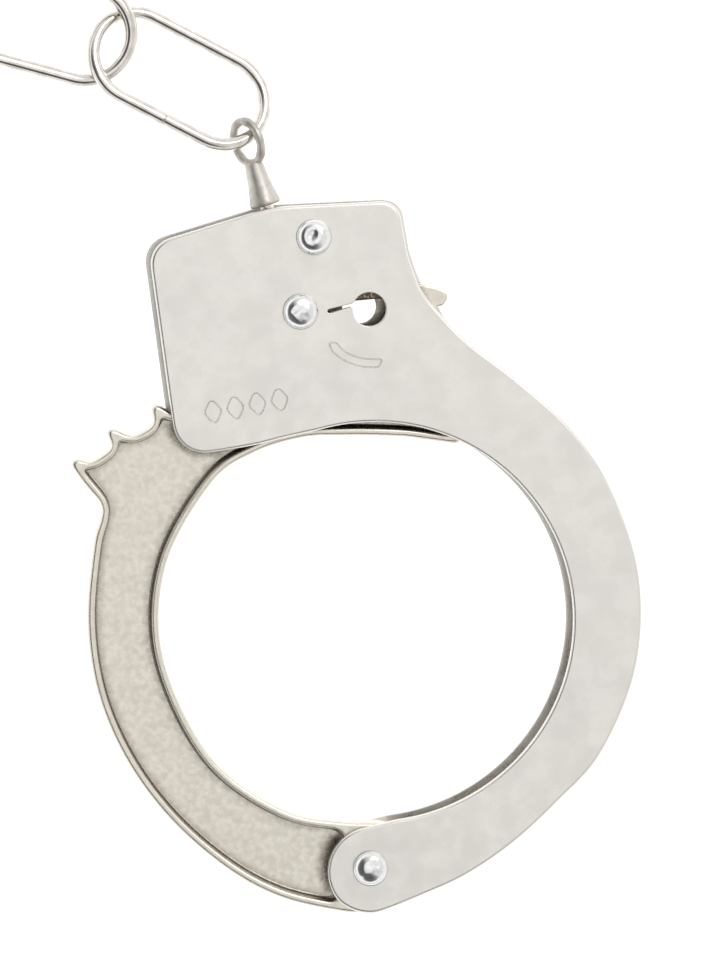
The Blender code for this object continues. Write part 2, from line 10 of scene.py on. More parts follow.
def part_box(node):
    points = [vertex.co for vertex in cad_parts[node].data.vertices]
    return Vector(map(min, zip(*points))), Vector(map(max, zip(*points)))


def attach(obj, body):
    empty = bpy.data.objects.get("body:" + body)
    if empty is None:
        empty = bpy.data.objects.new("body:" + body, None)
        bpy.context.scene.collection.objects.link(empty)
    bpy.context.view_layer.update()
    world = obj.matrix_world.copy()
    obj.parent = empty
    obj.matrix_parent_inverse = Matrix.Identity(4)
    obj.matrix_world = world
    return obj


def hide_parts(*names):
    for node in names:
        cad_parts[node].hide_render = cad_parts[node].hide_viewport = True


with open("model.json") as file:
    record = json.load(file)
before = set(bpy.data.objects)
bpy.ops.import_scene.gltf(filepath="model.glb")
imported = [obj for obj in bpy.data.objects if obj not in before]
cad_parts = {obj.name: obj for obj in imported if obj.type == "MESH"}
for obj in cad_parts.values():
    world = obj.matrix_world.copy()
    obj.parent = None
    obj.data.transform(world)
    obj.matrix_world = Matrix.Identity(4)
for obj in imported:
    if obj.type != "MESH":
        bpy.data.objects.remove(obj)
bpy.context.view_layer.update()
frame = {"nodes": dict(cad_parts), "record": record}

MM = 0.001

# ---- sizes, in millimetres ---------------------------------------------------------------------
OPENING_RADIUS = 27.85
PIVOT_DROP = 6.52
HEAD_RADIUS = 2.4
SHANK_RADIUS = 1.4
CLEARANCE = 0.3
BUSH_RADIUS = 2.4
BOSS_RADIUS = 6.25
BACK_SHIFT = 0.5
BACK_EDGE_PROUD = 1.2
KEYHOLE_RADIUS = 2.36
BACK_KEYHOLE_SHIFT = 1.0
KEY_SLOT_WIDTH = 0.6
KEY_SLOT_MOUTH = 0.4
ARM_RIM = 1.1
ARM_FLOOR = 1.1
ARM_BOSS_RADIUS = 4.5
TOOTH_REACH = 8.95
TOOTH_DEPTH = 2.6
TOOTH_COUNT = 9
TOOTH_PITCH = 5.65
FIRST_TOOTH = 126.85
FIRST_TOOTH_LAG = 0.5
FIRST_TOOTH_DROP = 0.9
PAWL_EYE_RADIUS = 3.4
PAWL_BAR_RISE = 1.37
PAWL_BAR_DEPTH = 2.7
NOSE_LIFT = 0.35
NOSE_ANGLE = 82.75
STEM_RADIUS = 1.0
COLLAR_RADIUS = 1.7
CONE_TOP_RADIUS = 1.25
CONE_BASE_RADIUS = 2.15
STEM_HEAD = 7.6                   # from the stem's entry down to the underside of its end
EYE_SECTION = 0.6
EYE_HALF_WIDTH = 2.35
EYE_HALF_HEIGHT = 3.0
EYE_SPIN = 45.0
EYE_DISTANCE = 9.4
WIRE_RADIUS = 0.9
LINK_HALF_STRAIGHT = 6.44
LINK_BEND_RADIUS = 6.40
PLATE_ROLL = 0.42                 # the pressed plates' rounded front edge
ARM_ROLL = 0.46                   # the arm's rim is rounded like a bead
HOLD = 0.06                       # the flat strip beside a rounded edge
INSET_STEP = 0.04                 # an outline is moved in by steps no longer than this
FINE_STEP = 0.16                  # between the points of small or curly outlines
PLATE_STEP = 0.35                 # between the points of a plate's outline
GROOVE_WIDTH = 0.22               # stamped marks
GROOVE_DEPTH = 0.16
POCKET_ROLL = 0.9 * ARM_ROLL      # the rim's rounding on the pocket's side
POCKET_FOOT = 0.35                # the hollow corner at the foot of the pocket's wall
PAINTED_SHADOW_GRID = 0.6                  # between the floor points that carry the painted shadow
HEAD_EDGE = 0.12                  # the straight rim under a rivet head's dome
HEAD_SHORT = 0.02                 # keeps the dome inside the CAD's
BACK_HEAD_TOP = 0.8
SEAM_DEPTH = 0.16                 # share of the wire's radius lost at the butt seam
SEAM_REACH = 0.09

# ---- places, in millimetres --------------------------------------------------------------------
OPENING = Vector((0.33, OPENING_RADIUS + PIVOT_DROP))
CROWN = OPENING + Vector((0, OPENING_RADIUS))
PAWL_PIVOT = CROWN + Vector((-10.15, 15.38))
TOP_RIVET = CROWN + Vector((-8.30, 25.65))
KEYHOLE = CROWN + Vector((-0.63, 15.63))
KEY_SLOT = (Vector((-2.1, 0.6)), Vector((-5.8, -0.3)))
RELEASE_TAB = Vector((11.0, 1.6))
STEM_ENTRY = CROWN + Vector((-14.63, 29.48))
STEM_DIRECTION = Vector((0.281, -0.960)).normalized()
STEM_SIDE = Vector((-STEM_DIRECTION.y, STEM_DIRECTION.x))
BOSS = Vector((0.28, -0.53))
TIP_RADIUS = CROWN.y + TOOTH_REACH


def span(node):
    """A CAD node's lowest and highest point, in millimetres."""
    low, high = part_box(node)
    return low[2] / MM, high[2] / MM


BACK_PLATE = span("back_plate_a")
FRONT_PLATE = span("front_plate_a")
ARM = span("arm_a")
PAWL = span("pawl_a")
RIVET = span("arm_rivet_a")
MIDDLE = (BACK_PLATE[1] + FRONT_PLATE[0]) / 2
LINK_TILT = math.degrees(math.asin(2.926 * WIRE_RADIUS / LINK_BEND_RADIUS))
LINK_PLACES = {                   # centre; roll, pitch and yaw in degrees
    "link_1": (Vector((19.26, -7.89, MIDDLE + 0.04)), (-LINK_TILT, 0.21 * LINK_TILT, -27.6)),
    "link_2": (Vector((0, 0, MIDDLE + 1.07)), (0, 0, 164.8)),
    "link_3": (Vector((-19.26, 7.89, MIDDLE + 0.04)), (-LINK_TILT, 0.21 * LINK_TILT, 152.4)),
}
JOINTS = {joint["name"]: joint for joint in frame["record"]["behaviour"]["joints"]}


def cuff_frame(letter):
    """Places a cuff's own millimetres in the world."""
    x, y, _ = JOINTS["arm_" + letter + "_hinge"]["pos_m"]
    turn = 0 if letter == "a" else math.pi
    return Matrix.Translation((x, y, 0)) @ Matrix.Rotation(turn, 4, "Z") @ Matrix.Scale(MM, 4)


# ---- outlines ----------------------------------------------------------------------------------
def polar(centre, radius, degrees):
    angle = math.radians(degrees)
    return Vector((centre[0] + radius * math.cos(angle), centre[1] + radius * math.sin(angle)))


def arc(centre, radius, start, end, steps):
    return [polar(centre, radius, start + (end - start) * i / steps) for i in range(steps + 1)]


def smooth(points, steps):
    """A Catmull-Rom curve through the points."""
    ends = [points[0]] + list(points) + [points[-1]]
    curve = []
    for a, b, c, d in zip(ends, ends[1:], ends[2:], ends[3:]):
        for i in range(steps):
            t = i / steps
            curve.append(
                b + (c - a) * (t / 2)
                + (2 * a - 5 * b + 4 * c - d) * (t * t / 2)
                + (3 * b - 3 * c + d - a) * (t ** 3 / 2)
            )
    return curve + [points[-1]]


def fillet(before, corner, after, radius, steps=10):
    """The corner rounded off with an arc that touches both sides."""
    u = (before - corner).normalized()
    v = (after - corner).normalized()
    half = u.angle(v) / 2
    centre = corner + (u + v).normalized() * (radius / math.sin(half))
    first = corner + u * (radius / math.tan(half))
    last = corner + v * (radius / math.tan(half))
    start = math.degrees(math.atan2(*(first - centre).yx))
    turn = math.degrees(math.atan2(*(last - centre).yx)) - start
    turn = (turn + 180) % 360 - 180
    return arc(centre, radius, start, start + turn, steps)


def rounded(corners, radius, steps=5):
    count = len(corners)
    points = []
    for i, corner in enumerate(corners):
        points += fillet(corners[i - 1], corner, corners[(i + 1) % count], radius, steps)
    return points


def beyond(pairs):
    """Points round the opening: pairs are an angle and the distance beyond OPENING_RADIUS."""
    return [polar(OPENING, OPENING_RADIUS + out, angle) for angle, out in pairs]


def even(loop, spacing):
    """A closed outline stepped evenly, and its repeated points dropped."""
    lengths = [(b - a).length for a, b in zip(loop, loop[1:] + loop[:1])]
    total = sum(lengths)
    count = max(8, round(total / spacing))
    stepped = []
    i, passed = 0, 0.0
    for k in range(count):
        target = total * k / count
        while passed + lengths[i] < target:
            passed += lengths[i]
            i += 1
        share = (target - passed) / max(lengths[i], 1e-9)
        stepped.append(loop[i].lerp(loop[(i + 1) % len(loop)], share))
    return stepped


def relaxed(loop, rounds):
    """A closed outline with its small corners eased."""
    for _ in range(rounds):
        before, after = loop[-1:] + loop[:-1], loop[1:] + loop[:1]
        loop = [(a + 2 * b + c) / 4 for a, b, c in zip(before, loop, after)]
    return loop


def turned_left(loop):
    """The outline in the order that keeps the solid on its left."""
    area = sum(a.x * b.y - b.x * a.y for a, b in zip(loop, loop[1:] + loop[:1]))
    return loop if area > 0 else loop[::-1]


def moved_in(loop, inset, ease=(1, 1)):
    """The outline moved to its left in small steps, eased after each so that it doesn't fold.

    ease is how many rounds of easing follow a step to the left, and a step to the right.
    """
    steps = max(1, math.ceil(abs(inset) / INSET_STEP))
    for _ in range(steps):
        moved = []
        for a, b, c in zip(loop[-1:] + loop[:-1], loop, loop[1:] + loop[:1]):
            along = (c - a).normalized()
            across = Vector((-along.y, along.x))
            slide = ((a + c) / 2 - b).dot(along)
            moved.append(b + across * (inset / steps) + along * (slide * 0.5))
        loop = relaxed(moved, ease[inset < 0])
    return loop


# ---- plates ------------------------------------------------------------------------------------
OUTER_BAND = (
    (-80, 11.1), (-70, 10.0), (-58, 8.9), (-45, 8.3), (-30, 9.0), (-10, 9.4), (10, 9.7), (30, 10.0),
    (45, 10.5), (60, 11.3),
)
OPENING_START = -83
OPENING_END = 106


def plate_outline(proud):
    foot = CROWN + Vector((13.0, 11.1))
    rest = ((8.4, 15.9), (6.2, 19.0), (4.6, 23.3))
    side = [foot] + [CROWN + Vector((x + proud, y)) for x, y in rest]
    corners = [
        CROWN + Vector(offset)
        for offset in ((3.3 + proud, 30.6), (-14.0, 29.8), (-31.1, 24.6), (-27.1, -5.0))
    ]
    lower_edge = [CROWN + Vector(offset) for offset in ((-21.5, -3.9), (-16.5, -3.1), (-12.4, -2.1))]
    chin = [Vector((-2.2, -6.0)), Vector((0.0, -6.4)), Vector((2.0, -6.0))]
    outer = beyond(OUTER_BAND)
    outline = arc(OPENING, OPENING_RADIUS, OPENING_END, OPENING_START, 160)
    outline += arc(BOSS, BOSS_RADIUS, 100, 225, 40)
    outline += smooth([outline[-1]] + chin + outer + side, 12)[1:]
    outline += fillet(side[-1], corners[0], corners[1], 2.6)
    outline += fillet(corners[0], corners[1], corners[2], 20.0, 8)
    outline += fillet(corners[1], corners[2], corners[3], 3.7)
    outline += fillet(corners[2], corners[3], lower_edge[0], 4.4)
    outline += smooth([outline[-1]] + lower_edge[1:] + [outline[0]], 6)[1:-1]
    return outline


def keyhole_outline(shift):
    centre = KEYHOLE - Vector((shift, 0))
    mouth, tail = (centre + end for end in KEY_SLOT)
    along = (tail - mouth).normalized()
    across = Vector((-along.y, along.x)) * (KEY_SLOT_WIDTH / 2)
    heading = math.degrees(math.atan2(*KEY_SLOT[0].yx))
    opening = math.degrees(math.asin(KEY_SLOT_MOUTH / 2 / KEYHOLE_RADIUS))
    outline = arc(centre, KEYHOLE_RADIUS, heading + opening, heading + 360 - opening, 64)
    return outline + [tail - across, tail + across]


def hole(centre, radius, steps=40):
    return arc(centre, radius, 0, 360, steps)[:-1]


# ---- arm ---------------------------------------------------------------------------------------
ARM_SHOULDER = ((2.1, 0.05), (3.9, 0.1), (6.1, 0.0), (7.7, -0.1), (8.9, 0.3), (10.1, 1.6))
ARM_OUTER = ((165, 12.6), (180, 12.0), (195, 11.8), (210, 11.6), (225, 11.7), (240, 12.3), (252, 12.9))
ARM_INNER = (
    (263, 0.6), (245, 1.4), (220, 1.7), (190, 1.9), (165, 2.2), (140, 2.0), (126, 1.1), (112, -0.3),
    (100, -1.6), (90, -2.0), (78, -1.7), (65, -0.6),
)
ARM_TURN = -0.6                   # degrees about the pivot, from the drawn outline to the stored pose
ARM_END_RADIUS = 6.5
ARM_HEEL = (Vector((-4.1, -6.3)), Vector((-0.8, -6.5)))
TOOTH_SHAPE = (
    (-0.40, 0.26), (-0.12, 0.03), (0.3, 0.03), (0.75, 0.25), (1.3, 0.62), (2.0, 0.95), (2.9, 1.0),
    (4.2, 0.97), (4.95, 0.78),
)
TIP_TAPER = ((1.4, 1.9), (2.6, 4.8), (3.0, 7.8))


def toothed_edge():
    """From the front of the arm's tip back over the teeth to the first one."""
    points = []
    for number in range(TOOTH_COUNT):
        tip = FIRST_TOOTH - number * TOOTH_PITCH
        for after, share in TOOTH_SHAPE:
            drop = TOOTH_DEPTH * share
            if number == 0:
                drop += FIRST_TOOTH_DROP * (1.0 - share)
                after += FIRST_TOOTH_LAG * (1.0 - share)
            if number < TOOTH_COUNT - 1 or after < 0.5:
                points.append(polar((0, 0), TIP_RADIUS - drop, tip - after))
    last = FIRST_TOOTH - (TOOTH_COUNT - 1) * TOOTH_PITCH
    points += [polar((0, 0), TIP_RADIUS - drop, last - after) for after, drop in TIP_TAPER]
    return points[::-1]


def about_pivot(points, degrees):
    """The points turned about the arm's pivot."""
    turn = Matrix.Rotation(math.radians(degrees), 2)
    return [turn @ point for point in points]


def arm_tip():
    """The blunt end of the toothed side, with both of its corners rounded."""
    last = FIRST_TOOTH - (TOOTH_COUNT - 1) * TOOTH_PITCH
    over, under = (polar((0, 0), TIP_RADIUS - drop, last - after) for after, drop in TIP_TAPER[-2:])
    inner = beyond(ARM_INNER[-2:])
    return fillet(inner[0], inner[1], under, 0.8) + fillet(inner[1], under, over, 0.8)


def arm_loop(heel, round_pivot):
    """The arm's outline, closed round its pivot by the heel's points and an arc."""
    shoulder = [polar((0, 0), TIP_RADIUS - drop, FIRST_TOOTH + past) for drop, past in ARM_SHOULDER]
    outline = smooth(toothed_edge()[1:] + shoulder + beyond(ARM_OUTER) + list(heel), 6)
    outline += round_pivot
    outline += smooth(beyond(ARM_INNER), 12)[:-14] + arm_tip()
    return about_pivot(outline, ARM_TURN)


def arm_outline():
    return arm_loop(ARM_HEEL, arc((0, 0), ARM_END_RADIUS, 285, 430, 40))


def pocket_outline():
    """The arm's floor: its outline without the pivot's boss, drawn in by the rim's width."""
    outline = arm_loop(ARM_HEEL[:1], arc((0, 0), ARM_BOSS_RADIUS - ARM_RIM, 235, 125, 16))
    loop = even(turned_left(outline), FINE_STEP)
    steps = math.ceil(ARM_RIM / INSET_STEP)
    for number in range(steps):
        loop = moved_in(loop, ARM_RIM / steps)
        if number % 3 == 2:
            loop = even(loop, FINE_STEP)
    return loop


# ---- closed forms ------------------------------------------------------------------------------
def edge_profile(low, high, under, over, steps=6):
    """Insets and heights from a flat underside, round its edge, up the wall and onto a flat top."""
    profile = [(under + HOLD, low)]
    for i in range(steps + 1):
        a = math.radians(90 * i / steps)
        profile.append((under * (1 - math.sin(a)), low + under * (1 - math.cos(a))))
    for i in range(steps + 1):
        a = math.radians(90 * i / steps)
        profile.append((over * (1 - math.cos(a)), high - over * (1 - math.sin(a))))
    return profile + [(over + HOLD, high)]


class Form:
    """A closed form made of rings, the walls between them, and caps over flat parts."""

    def __init__(self):
        self.points = []
        self.faces = []
        # how much painted shade each point carries, for the finish to lay on
        self.painted_shade = {}

    def ring(self, loop, height, painted_shade=0.0):
        start = len(self.points)
        self.points += [Vector((p[0], p[1], height)) for p in loop]
        if painted_shade:
            self.painted_shade.update((i, painted_shade) for i in range(start, start + len(loop)))
        return range(start, start + len(loop))

    def wall(self, a, b):
        count = len(a)
        for i in range(count):
            j = (i + 1) % count
            self.faces.append((a[i], a[j], b[j], b[i]))

    def lathe(self, profile, sides):
        """A closed form turned about the Z axis: radii and heights."""
        rings = [self.ring(hole((0, 0), radius, sides), z) for radius, z in profile]
        for a, b in zip(rings, rings[1:]):
            self.wall(a, b)
        self.cap([rings[0]])
        self.cap([rings[-1]])

    def sweep(self, loop, profile, ease=(1, 1)):
        """Walls that follow the outline, and the first and last of their rings."""
        rings = [self.ring(moved_in(loop, inset, ease), *rest) for inset, *rest in profile]
        for a, b in zip(rings, rings[1:]):
            self.wall(a, b)
        return rings[0], rings[-1]

    def cap(self, rings, dots=()):
        """Fills between the rings, leaving holes where one lies in another; dots are points inside."""
        places = [i for ring in rings for i in ring] + list(dots)
        edges, start = [], 0
        for ring in rings:
            count = len(ring)
            edges += [(start + i, start + (i + 1) % count) for i in range(count)]
            start += count
        flat = [self.points[i].xy for i in places]
        filled = geometry.delaunay_2d_cdt(flat, edges, [], 0, 1e-6)
        spots, drawn, faces, origins, edge_origins, _ = filled
        walls = {tuple(sorted(edge)) for edge, origin in zip(drawn, edge_origins) if origin}
        sides = {}
        for number, face in enumerate(faces):
            for i, j in zip(face, face[1:] + face[:1]):
                sides.setdefault(tuple(sorted((i, j))), []).append(number)
        inside = {}
        reached = []
        for edge, owners in sides.items():
            if len(owners) == 1 and owners[0] not in inside:
                inside[owners[0]] = edge in walls
                reached.append(owners[0])
        while reached:
            number = reached.pop()
            face = faces[number]
            for i, j in zip(face, face[1:] + face[:1]):
                edge = tuple(sorted((i, j)))
                for other in sides[edge]:
                    if other not in inside:
                        inside[other] = inside[number] != (edge in walls)
                        reached.append(other)
        nearest = []
        for spot, origin in zip(spots, origins):
            if origin:
                nearest.append(places[origin[0]])
            else:
                nearest.append(min(places, key=lambda i: (self.points[i].xy - spot).length))
        for number, face in enumerate(faces):
            corners = tuple(nearest[i] for i in face)
            if inside[number] and len(set(corners)) == 3:
                self.faces.append(corners)

    def groove(self, loop, top):
        """A stamped line along the closed outline; its two lips are returned for the cap."""
        half = GROOVE_WIDTH / 2
        floor = top - GROOVE_DEPTH
        profile = [
            (-half, top), (-half * 0.75, top - GROOVE_DEPTH * 0.25), (-half * 0.35, floor),
            (half * 0.35, floor), (half * 0.75, top - GROOVE_DEPTH * 0.25), (half, top),
        ]
        return self.sweep(loop, profile)


def mesh_object(name, points, faces, place, sharp=35.0, painted_shade=None):
    """A mesh object in the world's metres, with its origin at the world's."""
    mesh = bpy.data.meshes.new(name)
    mesh.from_pydata([place @ point for point in points], [], faces)
    # the painted shade goes into a point attribute that the finishes read
    values = mesh.attributes.new("painted_shade", "FLOAT", "POINT")
    for i, value in (painted_shade or {}).items():
        values.data[i].value = value
    work = bmesh.new()
    work.from_mesh(mesh)
    bmesh.ops.delete(work, geom=[v for v in work.verts if not v.link_faces], context="VERTS")
    bmesh.ops.recalc_face_normals(work, faces=work.faces)
    work.to_mesh(mesh)
    work.free()
    mesh.shade_smooth()
    mesh.set_sharp_from_angle(angle=math.radians(sharp))
    made = bpy.data.objects.new(name, mesh)
    bpy.context.scene.collection.objects.link(made)
    return made


def publish(piece, finish, body, slot, *nodes):
    """Gives a piece its finish and its body, and hides the CAD nodes that it stands for."""
    piece.data.materials.clear()
    piece.data.materials.append(finish)
    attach(piece, body)
    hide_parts(*nodes)


# ---- finishes ----------------------------------------------------------------------------------
class Nodes:
    """Short names for building a node tree."""

    def __init__(self, name):
        self.material = bpy.data.materials.new(name)
        self.material.use_nodes = True
        self.tree = self.material.node_tree
        self.shader = self.tree.nodes["Principled BSDF"]
        self.coordinates = self.tree.nodes.new("ShaderNodeTexCoord").outputs["Object"]

    def add(self, kind, **values):
        node = self.tree.nodes.new(kind)
        for key, value in values.items():
            setattr(node, key, value)
        return node

    def link(self, a, b):
        self.tree.links.new(a, b)

    def stretched(self, scale, turn=0.0):
        mapping = self.add("ShaderNodeMapping")
        mapping.inputs["Scale"].default_value = scale
        mapping.inputs["Rotation"].default_value = (0, 0, turn)
        self.link(self.coordinates, mapping.inputs["Vector"])
        return mapping.outputs["Vector"]

    def noise(self, size, detail=3.0, rough=0.5, warp=0.0, vector=None):
        """Noise with features of about this many millimetres."""
        node = self.add("ShaderNodeTexNoise")
        node.inputs["Scale"].default_value = 1.0 / (size * MM)
        node.inputs["Detail"].default_value = detail
        node.inputs["Roughness"].default_value = rough
        node.inputs["Distortion"].default_value = warp
        self.link(vector or self.coordinates, node.inputs["Vector"])
        return node.outputs["Fac"]

    def spread(self, value, low, high, start=0.35, end=0.65):
        node = self.add("ShaderNodeMapRange")
        node.inputs["From Min"].default_value = start
        node.inputs["From Max"].default_value = end
        node.inputs["To Min"].default_value = low
        node.inputs["To Max"].default_value = high
        self.link(value, node.inputs["Value"])
        return node.outputs["Result"]

    def mix(self, factor, a, b):
        node = self.add("ShaderNodeMix", data_type="RGBA")
        self.link(factor, node.inputs["Factor"])
        for socket, value in ((node.inputs[6], a), (node.inputs[7], b)):
            if isinstance(value, tuple):
                socket.default_value = (*value, 1)
            else:
                self.link(value, socket)
        return node.outputs[2]

    def bump(self, height, distance, normal=None):
        node = self.add("ShaderNodeBump")
        node.inputs["Strength"].default_value = 1.0
        node.inputs["Distance"].default_value = distance * MM
        self.link(height, node.inputs["Height"])
        if normal is not None:
            self.link(normal, node.inputs["Normal"])
        return node.outputs["Normal"]

    def darkened_by_painted_shade(self, colour, dark, size, strength=1.0):
        """The colour darkened in speckled patches, as painted shade, where the mesh's point attribute
        asks for it.
        """
        painted_shade = self.add("ShaderNodeAttribute", attribute_name="painted_shade")
        patches = self.spread(self.noise(size, 3.0, 0.6), 0.6, 1.0, 0.36, 0.50)
        both = self.add("ShaderNodeMath", operation="MULTIPLY")
        self.link(painted_shade.outputs["Fac"], both.inputs[0])
        self.link(patches, both.inputs[1])
        scaled = self.add("ShaderNodeMath", operation="MULTIPLY")
        self.link(both.outputs[0], scaled.inputs[0])
        scaled.inputs[1].default_value = strength
        return self.mix(scaled.outputs[0], colour, dark)

    def finish(self, colour, roughness, normal):
        self.shader.inputs["Metallic"].default_value = 1.0
        self.link(colour, self.shader.inputs["Base Color"])
        self.link(roughness, self.shader.inputs["Roughness"])
        self.link(normal, self.shader.inputs["Normal"])
        return self.material


def plate_finish():
    """Pressed nickel sheet: even and satin, with faint clouds, a few stains and fine scratches."""
    n = Nodes("nickel_plate_finish")
    clouds = n.spread(n.noise(9.0, 2.0), 0.0, 1.0)
    colour = n.mix(clouds, (0.745, 0.722, 0.688), (0.765, 0.740, 0.700))
    stains = n.spread(n.noise(2.4, 4.0, 0.6, 0.6), 0.0, 0.16, 0.66, 0.78)
    colour = n.mix(stains, colour, (0.60, 0.58, 0.54))
    # painted shade: dark brown on the holes' walls between the two plates, where the mesh asks for it
    colour = n.darkened_by_painted_shade(colour, (0.22, 0.17, 0.11), 0.8, 0.8)
    scratches = n.noise(1.0, 2.0, 0.5, vector=n.stretched((0.6, 9.0, 1.0), 0.35))
    roughness = n.spread(n.noise(3.0, 3.0), 0.24, 0.34)
    normal = n.bump(scratches, 0.0016)
    normal = n.bump(n.noise(0.35, 2.0), 0.0012, normal)
    return n.finish(colour, roughness, normal)


def cast_finish(name, light, dark, roughness, depth):
    """Plated casting: mottled, with a soft grain and small pits."""
    n = Nodes(name)
    mottle = n.spread(n.noise(3.4, 6.0, 0.7, 0.2), 0.0, 1.0, 0.30, 0.70)
    colour = n.mix(mottle, light, dark)
    pits = n.spread(n.noise(0.36, 3.0, 0.6), 0.0, 0.7, 0.66, 0.78)
    colour = n.mix(pits, colour, tuple(0.55 * value for value in dark))
    # painted shade: near-black brown in the arm's pocket, on its floor beside the housing and the boss,
    # and over the pawl
    colour = n.darkened_by_painted_shade(colour, (0.075, 0.05, 0.03), 0.35, 0.97)
    shine = n.spread(n.noise(0.9, 3.0), roughness - 0.07, roughness + 0.07)
    normal = n.bump(n.noise(0.8, 4.0, 0.6), depth)
    normal = n.bump(n.noise(3.2, 2.0), depth * 2.5, normal)
    return n.finish(colour, shine, normal)


def bright_finish(name, light, dark, roughness, size, depth):
    """Bright nickel with a faint waviness and a thin haze."""
    n = Nodes(name)
    colour = n.mix(n.spread(n.noise(size, 3.0), 0.0, 1.0), light, dark)
    shine = n.spread(n.noise(size * 0.7, 3.0), roughness, roughness + 0.06)
    normal = n.bump(n.noise(size, 2.0), depth)
    return n.finish(colour, shine, normal)


PLATE_FINISH = plate_finish()
ARM_FINISH = cast_finish("nickel_arm_finish", (0.76, 0.72, 0.64), (0.69, 0.65, 0.57), 0.30, 0.006)
SWIVEL_FINISH = cast_finish("nickel_swivel_finish", (0.66, 0.64, 0.60), (0.40, 0.37, 0.33), 0.46, 0.034)
RIVET_FINISH = bright_finish(
    "bright_rivet_finish", (0.86, 0.86, 0.86), (0.77, 0.77, 0.78), 0.12, 0.8, 0.010
)
WIRE_FINISH = bright_finish(
    "nickel_wire_finish", (0.76, 0.73, 0.69), (0.62, 0.58, 0.54), 0.11, 1.4, 0.008
)
SPRING_FINISH = bright_finish(
    "spring_steel_finish", (0.52, 0.51, 0.50), (0.42, 0.41, 0.40), 0.25, 0.6, 0.004
)


# ---- pieces ------------------------------------------------------------------------------------
BAR_LOWER = ((-5.6, -4.6), (-4.9, -6.0), (-2.9, -7.3), (-0.9, -7.9), (1.3, -8.0))
BAR_UPPER = ((1.8, -6.9), (-0.7, -6.8), (-2.2, -6.4), (-3.7, -5.6), (-4.6, -4.5))
LOZENGE_COUNT = 4
LOZENGE_START = CROWN + Vector((-22.2, 1.6))
LOZENGE_SLOPE = 10                # degrees
LOZENGE_PITCH = 3.1
LOZENGE_HALF_WIDTH = 1.25
LOZENGE_HALF_HEIGHT = 2.0
LOZENGE_ROUNDING = 0.5


def mark_outlines():
    """Stamped marks on the front plate: a curved bar under the keyhole and a row of lozenges."""
    marks = [[]]
    for side in (BAR_LOWER, BAR_UPPER):
        marks[0] += smooth([KEYHOLE + Vector(point) for point in side], 8)
    slope = math.radians(LOZENGE_SLOPE)
    along = Vector((math.cos(slope), math.sin(slope)))
    across = Vector((-along.y, along.x))
    for i in range(LOZENGE_COUNT):
        centre = LOZENGE_START + along * (LOZENGE_PITCH * i)
        corners = [
            centre + along * LOZENGE_HALF_WIDTH, centre + across * LOZENGE_HALF_HEIGHT,
            centre - along * LOZENGE_HALF_WIDTH, centre - across * LOZENGE_HALF_HEIGHT,
        ]
        marks.append(rounded(corners, LOZENGE_ROUNDING, 6))
    return [turned_left(even(mark, FINE_STEP)) for mark in marks]


def plate(name, heights, shift, proud, keyhole_shift, rolls, marks, letter):
    form = Form()
    low, high = heights
    inner = low if low > MIDDLE else high
    outline = [point - Vector((shift, 0)) for point in plate_outline(proud)]
    loops = [turned_left(even(outline, PLATE_STEP))]
    openings = [relaxed(even(keyhole_outline(keyhole_shift), FINE_STEP), 5)]
    openings += [hole(centre, SHANK_RADIUS + CLEARANCE) for centre in ((0, 0), PAWL_PIVOT, TOP_RIVET)]
    loops += [turned_left(opening)[::-1] for opening in openings]
    bottoms, tops = [], []
    for i, loop in enumerate(loops):
        under, over = rolls if i == 0 else (0.08, 0.1)
        profile = edge_profile(low, high, under, over)
        # the holes' walls beside the face towards the other plate carry painted shade
        if i > 0:
            profile = [(inset, z, 1.0 if abs(z - inner) < 0.55 else 0.0) for inset, z in profile]
        bottom, top = form.sweep(loop, profile)
        bottoms.append(bottom)
        tops.append(top)
    for mark in marks:
        tops += form.groove(mark, high)
    form.cap(bottoms)
    form.cap(tops)
    return mesh_object(name, form.points, form.faces, cuff_frame(letter), 35, form.painted_shade)


def faded(distance, near, far):
    """1 up to near, falling to 0 at far."""
    return min(1.0, max(0.0, (far - distance) / (far - near)))


def floor_dots(form, pocket, height):
    """Points over the arm's floor that carry painted shadow beside the plates and round the pivot's boss.
    """
    housing = even(plate_outline(0), 0.8)
    xs, ys = [p.x for p in pocket], [p.y for p in pocket]
    start = len(form.points)
    y = min(ys)
    while y < max(ys):
        x = min(xs)
        while x < max(xs):
            dot = Vector((x, y))
            if min((dot - p).length_squared for p in pocket[::3]) > 1.0:
                edge = math.sqrt(min((dot - p).length_squared for p in housing))
                # painted shadow under the housing's edge, and round the pivot's boss
                painted_shade = max(0.8 * faded(edge, 0.3, 1.3), 0.7 * faded(dot.length, 6.3, 7.4))
                form.points.append(Vector((x, y, height)))
                form.painted_shade[len(form.points) - 1] = painted_shade
            x += PAINTED_SHADOW_GRID
        y += PAINTED_SHADOW_GRID
    return range(start, len(form.points))


